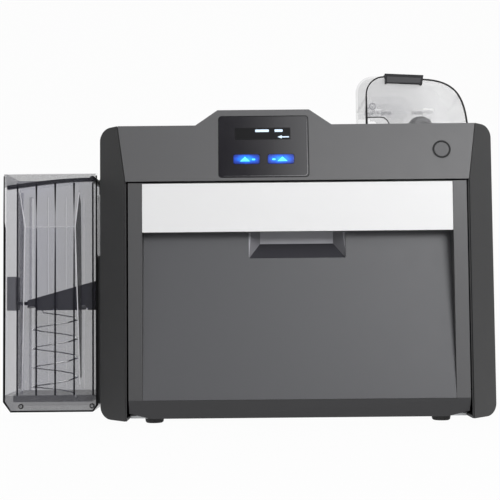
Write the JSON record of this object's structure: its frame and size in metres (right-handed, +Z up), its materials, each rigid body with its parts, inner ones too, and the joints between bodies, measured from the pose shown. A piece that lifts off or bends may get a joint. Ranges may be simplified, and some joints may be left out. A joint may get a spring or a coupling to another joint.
{
  "type": "id card printer",
  "caption": "Desktop card printer with a fold-down front door, tilted display bezel, clear lidded input hopper on top and a smoked output hopper with a sprung card lift at the left.",
  "frame": {"origin": "centre of the bounding box at the level of the feet", "axes": "+X to the right of a person facing the door, +Y to the back, +Z up"},
  "size_m": [0.4988, 0.25, 0.3753],
  "materials": {
    "dark_plastic": "fine moulded grain",
    "panel_plastic": "fine moulded grain",
    "white_plastic": "satin",
    "display_gloss": "gloss",
    "screen": "gloss",
    "lit_blue": "lit from behind",
    "ring_plastic": "satin",
    "steel": "bright",
    "plated_sheet": "zinc plated",
    "rubber": "matt",
    "heated_rubber": "satin",
    "ribbon_plastic": "satin",
    "film_plastic": "satin",
    "ribbon_roll": "wound film",
    "film_roll": "wound film",
    "aluminium": "milled",
    "brass": "cut",
    "board": "lacquered",
    "black_plastic": "satin",
    "port_metal": "plated",
    "pale_clear": "clear, lightly tinted",
    "grey_plastic": "satin",
    "smoked_clear": "clear, smoked"
  },
  "bodies": {
    "chassis": {"base_pan": "plated_sheet", "rubber_feet": "rubber", "left_cover": "dark_plastic", "right_cover": "dark_plastic", "top_cover": "dark_plastic", "rear_panel": "dark_plastic", "case_screws": "steel", "front_bezel": "dark_plastic", "display_lens": "display_gloss", "display_screen": "screen", "power_ring": "ring_plastic", "hinge_pins": "steel", "left_frame": "plated_sheet", "right_frame": "plated_sheet", "backbone_plate": "plated_sheet", "ribbon_cartridge": "ribbon_plastic", "ribbon_web": "ribbon_roll", "film_cartridge": "film_plastic", "film_web": "film_roll", "card_rails": "plated_sheet", "drive_motor": "steel", "main_board": "board", "power_supply": "plated_sheet", "fan_frame": "black_plastic", "power_inlet": "black_plastic", "data_ports": "port_metal", "input_base": "pale_clear", "lid_pin": "steel", "arm_pin": "grey_plastic", "output_case": "smoked_clear", "output_base": "black_plastic", "output_bracket": "dark_plastic", "platform_spring": "steel", "flap_pin": "black_plastic"},
    "front_door": {"door_shell": "dark_plastic", "door_panel": "panel_plastic", "white_band": "white_plastic", "pull_pocket": "panel_plastic", "door_latches": "steel"},
    "left_softkey": {"left_key": "lit_blue"},
    "right_softkey": {"right_key": "lit_blue"},
    "power_key": {"power_button": "dark_plastic"},
    "hopper_lid": {"input_lid": "pale_clear", "lid_handle": "black_plastic"},
    "card_weight": {"weight_arm": "pale_clear"},
    "card_picker": {"pick_roller": "rubber"},
    "card_lift": {"lift_platform": "black_plastic"},
    "card_flap": {"top_flap": "black_plastic"},
    "ribbon_supply_spool": {"ribbon_supply": "ribbon_roll"},
    "ribbon_takeup_spool": {"ribbon_takeup": "ribbon_roll"},
    "film_supply_spool": {"film_supply": "film_roll"},
    "film_takeup_spool": {"film_takeup": "film_roll"},
    "platen": {"platen_roller": "rubber"},
    "transfer": {"transfer_roller": "heated_rubber"},
    "pinion": {"motor_pinion": "brass"},
    "feeder_left": {"left_feed_roller": "rubber"},
    "feeder_middle": {"middle_feed_roller": "rubber"},
    "feeder_right": {"right_feed_roller": "rubber"},
    "print_head": {"printhead": "aluminium"},
    "fan": {"fan_rotor": "black_plastic"}
  },
  "joints": [
    {"name": "door_hinge", "type": "hinge", "parent": "chassis", "child": "front_door", "pos_m": [0.05195, -0.11, 0.017], "axis": [1, 0, 0], "range_deg": [0, 90]},
    {"name": "left_softkey_press", "type": "slide", "parent": "chassis", "child": "left_softkey", "axis": [0, 0.9888, -0.149], "range_m": [0, 0.0008], "stiffness_N_per_m": 300, "springref_m": -0.001},
    {"name": "right_softkey_press", "type": "slide", "parent": "chassis", "child": "right_softkey", "axis": [0, 0.9888, -0.149], "range_m": [0, 0.0008], "stiffness_N_per_m": 300, "springref_m": -0.001},
    {"name": "power_press", "type": "slide", "parent": "chassis", "child": "power_key", "axis": [0, 0.9888, -0.149], "range_m": [0, 0.0016], "stiffness_N_per_m": 300, "springref_m": -0.001},
    {"name": "lid_hinge", "type": "hinge", "parent": "chassis", "child": "hopper_lid", "pos_m": [0.17995, 0.029, 0.334], "axis": [-1, 0, 0], "range_deg": [0, 75]},
    {"name": "weight_pivot", "type": "hinge", "parent": "chassis", "child": "card_weight", "pos_m": [0.13475, -0.037, 0.324], "axis": [0, -1, 0], "range_deg": [0, 15]},
    {"name": "pick_spin", "type": "hinge", "parent": "chassis", "child": "card_picker", "pos_m": [0.18735, -0.037, 0.3019], "axis": [0, 1, 0], "continuous": true},
    {"name": "lift_slide", "type": "slide", "parent": "chassis", "child": "card_lift", "axis": [0, 0, 1], "range_m": [-0.068, 0], "stiffness_N_per_m": 60, "springref_m": 0.03, "deforming": ["platform_spring"]},
    {"name": "flap_hinge", "type": "hinge", "parent": "chassis", "child": "card_flap", "pos_m": [-0.15795, -0.037, 0.2501], "axis": [0, 1, 0], "range_deg": [0, 60]},
    {"name": "ribbon_supply_spin", "type": "hinge", "parent": "chassis", "child": "ribbon_supply_spool", "pos_m": [-0.05305, -0.037, 0.084], "axis": [0, 1, 0], "continuous": true},
    {"name": "ribbon_takeup_spin", "type": "hinge", "parent": "chassis", "child": "ribbon_takeup_spool", "pos_m": [-0.05305, -0.037, 0.166], "axis": [0, 1, 0], "continuous": true},
    {"name": "film_supply_spin", "type": "hinge", "parent": "chassis", "child": "film_supply_spool", "pos_m": [0.15695, -0.037, 0.084], "axis": [0, 1, 0], "continuous": true},
    {"name": "film_takeup_spin", "type": "hinge", "parent": "chassis", "child": "film_takeup_spool", "pos_m": [0.15695, -0.037, 0.166], "axis": [0, 1, 0], "continuous": true},
    {"name": "platen_spin", "type": "hinge", "parent": "chassis", "child": "platen", "pos_m": [0.05395, -0.037, 0.158], "axis": [0, 1, 0], "continuous": true},
    {"name": "transfer_spin", "type": "hinge", "parent": "chassis", "child": "transfer", "pos_m": [0.09595, -0.037, 0.2278], "axis": [0, 1, 0], "continuous": true},
    {"name": "pinion_spin", "type": "hinge", "parent": "chassis", "child": "pinion", "pos_m": [0.05395, 0.01, 0.137], "axis": [0, 1, 0], "continuous": true},
    {"name": "left_feed_spin", "type": "hinge", "parent": "chassis", "child": "feeder_left", "pos_m": [-0.07805, -0.037, 0.2334], "axis": [0, 1, 0], "continuous": true},
    {"name": "middle_feed_spin", "type": "hinge", "parent": "chassis", "child": "feeder_middle", "pos_m": [-0.01005, -0.037, 0.2334], "axis": [0, 1, 0], "continuous": true},
    {"name": "right_feed_spin", "type": "hinge", "parent": "chassis", "child": "feeder_right", "pos_m": [0.14395, -0.037, 0.2334], "axis": [0, 1, 0], "continuous": true},
    {"name": "head_pivot", "type": "hinge", "parent": "chassis", "child": "print_head", "pos_m": [0.02175, -0.037, 0.176], "axis": [0, 1, 0], "range_deg": [0, 12]},
    {"name": "fan_spin", "type": "hinge", "parent": "chassis", "child": "fan", "pos_m": [-0.02805, 0.112, 0.19], "axis": [0, 1, 0], "continuous": true}
  ],
  "couplings": [
    {"joint": "ribbon_takeup_spin", "follows": "ribbon_supply_spin", "ratio": 1.5714},
    {"joint": "film_supply_spin", "follows": "platen_spin", "ratio": 0.41818},
    {"joint": "film_takeup_spin", "follows": "platen_spin", "ratio": 0.65714},
    {"joint": "transfer_spin", "follows": "platen_spin", "ratio": 0.92},
    {"joint": "pinion_spin", "follows": "platen_spin", "ratio": -2.5},
    {"joint": "middle_feed_spin", "follows": "left_feed_spin", "ratio": 1},
    {"joint": "right_feed_spin", "follows": "left_feed_spin", "ratio": 1}
  ]
}
